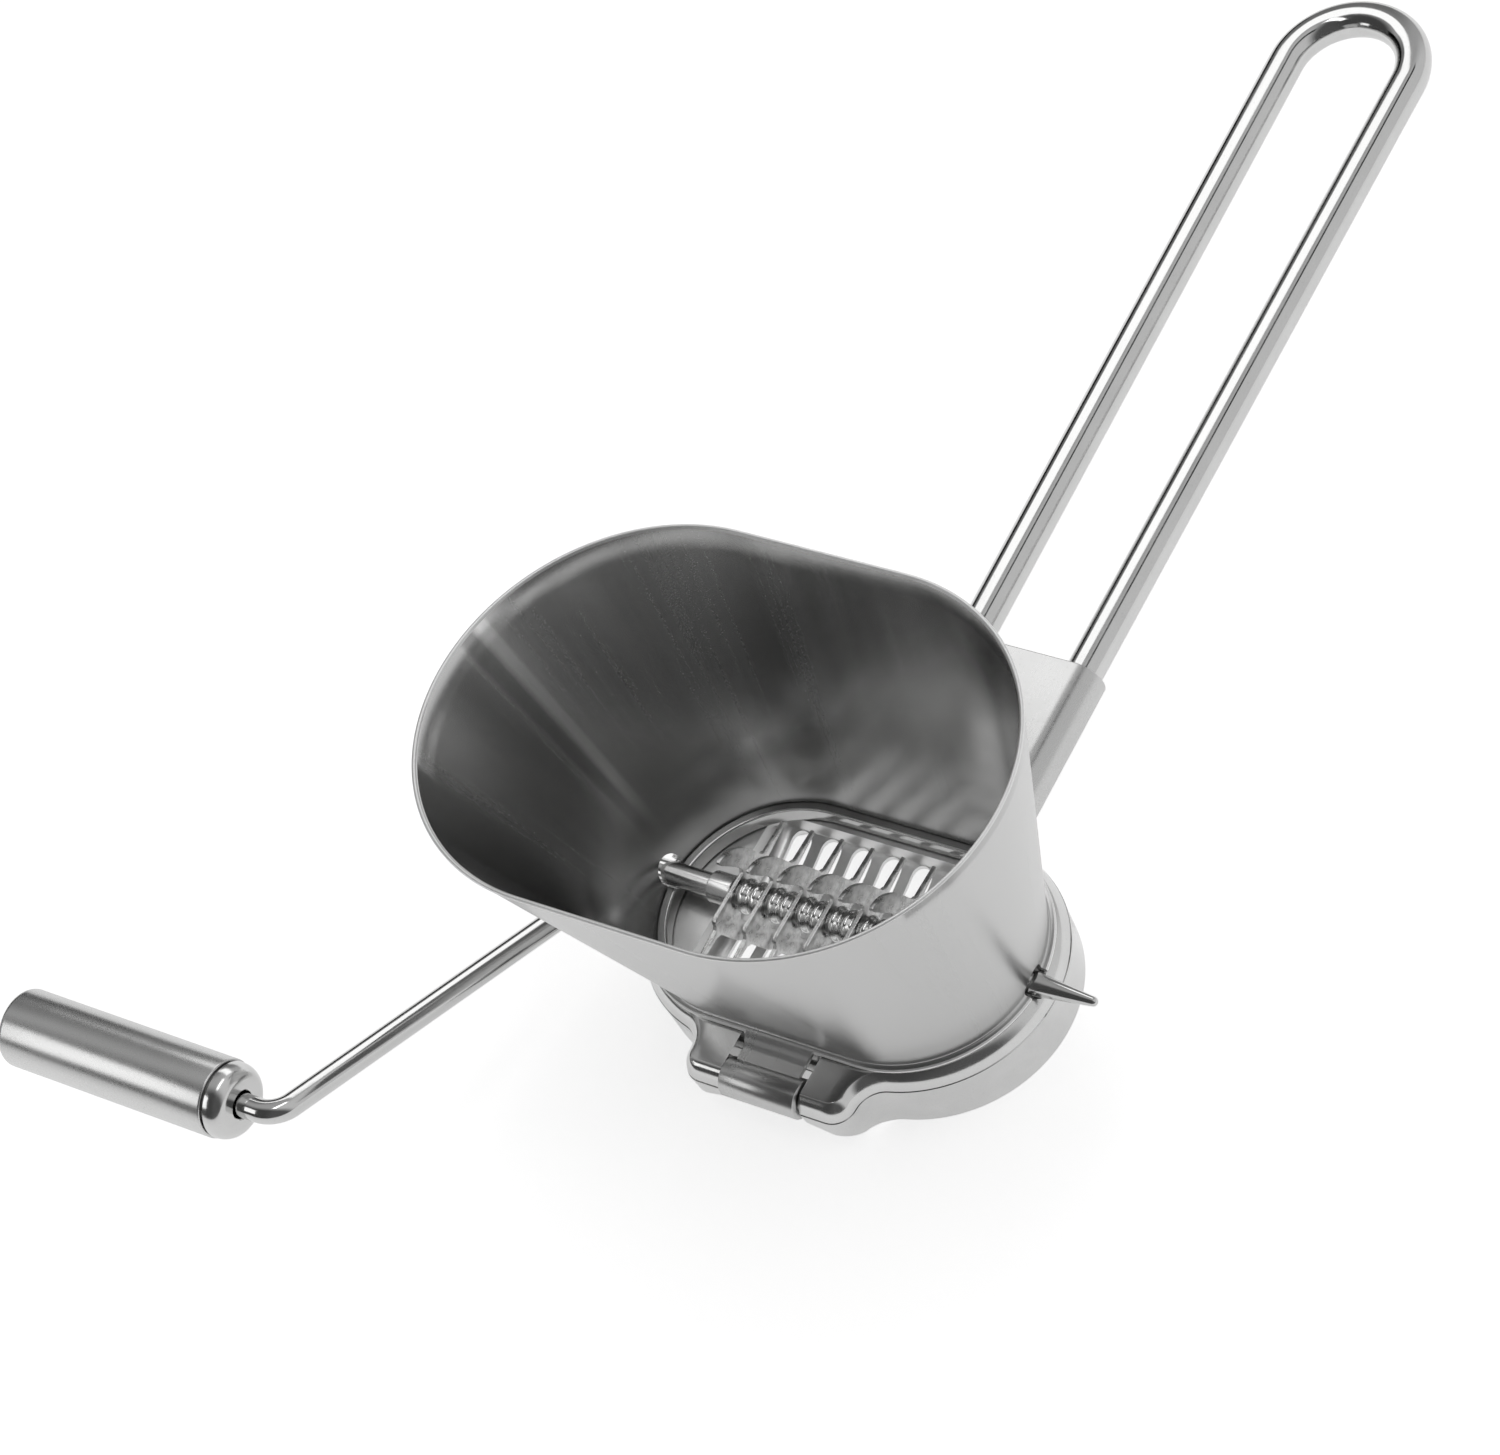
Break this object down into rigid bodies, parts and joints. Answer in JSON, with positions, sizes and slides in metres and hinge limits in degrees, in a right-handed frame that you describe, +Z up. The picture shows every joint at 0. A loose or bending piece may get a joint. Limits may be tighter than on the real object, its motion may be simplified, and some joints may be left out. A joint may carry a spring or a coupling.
{
  "type": "herb mill",
  "caption": "Hand-cranked herb mill: sheet hopper hinged over a comb plate and a bladed shaft, with a bent wire handle and a tube knob.",
  "frame": {"origin": "on the plane that the base ring stands on, under the middle of the whole mill's reach in X and Y", "axes": "+X along the cutter shaft towards its pointed tip, the crank at -X; +Y back along the handle; +Z up through the hopper"},
  "size_m": [0.1774, 0.305, 0.0789],
  "materials": {
    "satin_sheet": "satin stainless sheet with a fine lengthwise grain",
    "pressed_ring": "satin pressing, brighter on its rounded shoulder",
    "comb_sheet": "punched stainless sheet, satin with bright slot edges",
    "polished_wire": "polished stainless wire",
    "blade_steel": "dull ground faces with bright edges",
    "turned_steel": "bright turned steel",
    "knob_tube": "brushed round the tube",
    "knob_cap": "polished turned cap"
  },
  "bodies": {
    "frame": {"base_ring": "pressed_ring", "comb_plate": "comb_sheet", "hinge_pin": "turned_steel", "handle_wire": "polished_wire", "handle_sleeve": "satin_sheet"},
    "hopper": {"hopper": "satin_sheet"},
    "rotor": {"crank_shaft": "polished_wire", "blade_1": "blade_steel", "blade_2": "blade_steel", "blade_3": "blade_steel", "blade_4": "blade_steel", "blade_5": "blade_steel", "blade_6": "blade_steel", "blade_7": "blade_steel", "blade_8": "blade_steel", "spacer_1": "turned_steel", "spacer_2": "turned_steel", "spacer_3": "turned_steel", "spacer_4": "turned_steel", "spacer_5": "turned_steel", "spacer_6": "turned_steel", "spacer_7": "turned_steel", "collar_left": "turned_steel", "collar_right": "turned_steel", "knob_retainer": "turned_steel"},
    "knob": {"knob_tube": "knob_tube", "knob_front_cap": "knob_cap", "knob_end_cap": "knob_tube"}
  },
  "joints": [
    {"name": "hopper_hinge", "type": "hinge", "parent": "frame", "child": "hopper", "pos_m": [0.03285, -0.099, 0.01055], "axis": [1, 0, 0], "range_deg": [0, 110]},
    {"name": "crank_spin", "type": "hinge", "parent": "frame", "child": "rotor", "pos_m": [0.03285, -0.067, 0.0144], "axis": [1, 0, 0], "continuous": true},
    {"name": "knob_spin", "type": "hinge", "parent": "rotor", "child": "knob", "pos_m": [-0.062, -0.14535, 0.0422], "axis": [1, 0, 0], "continuous": true}
  ]
}
